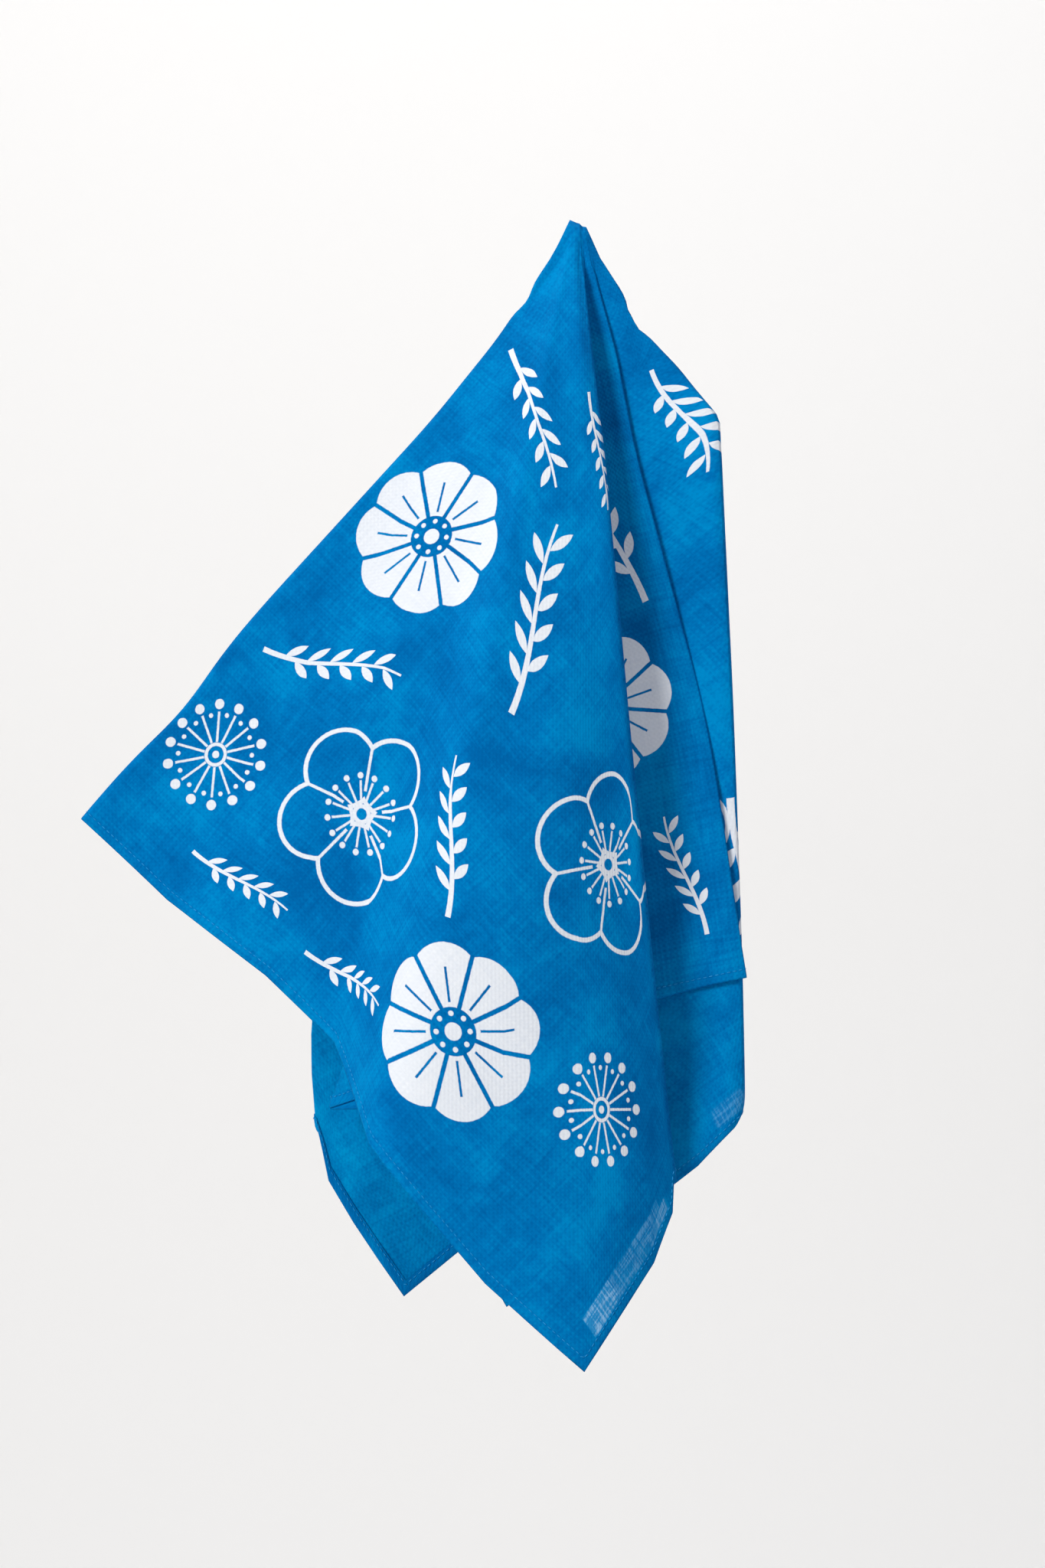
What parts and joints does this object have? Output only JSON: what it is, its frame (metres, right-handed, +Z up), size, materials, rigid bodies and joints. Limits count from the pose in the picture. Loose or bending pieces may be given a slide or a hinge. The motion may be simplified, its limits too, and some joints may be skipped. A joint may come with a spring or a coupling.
{
  "type": "bandana",
  "caption": "Square cotton cloth with a narrow hem, held up by its middle and hanging in soft pleated folds with loose pointed corners.",
  "frame": {"origin": "the pinched middle of the cloth, at the top, where it is held up", "axes": "+Z up, +Y towards the wall that the cloth hangs against, +X to the viewer's right"},
  "size_m": [0.2209, 0.0662, 0.3723],
  "materials": {
    "printed_cotton": "matte plain-woven cotton lawn, screen printed"
  },
  "bodies": {
    "root": {"bandana_cloth": "printed_cotton"}
  },
  "joints": []
}
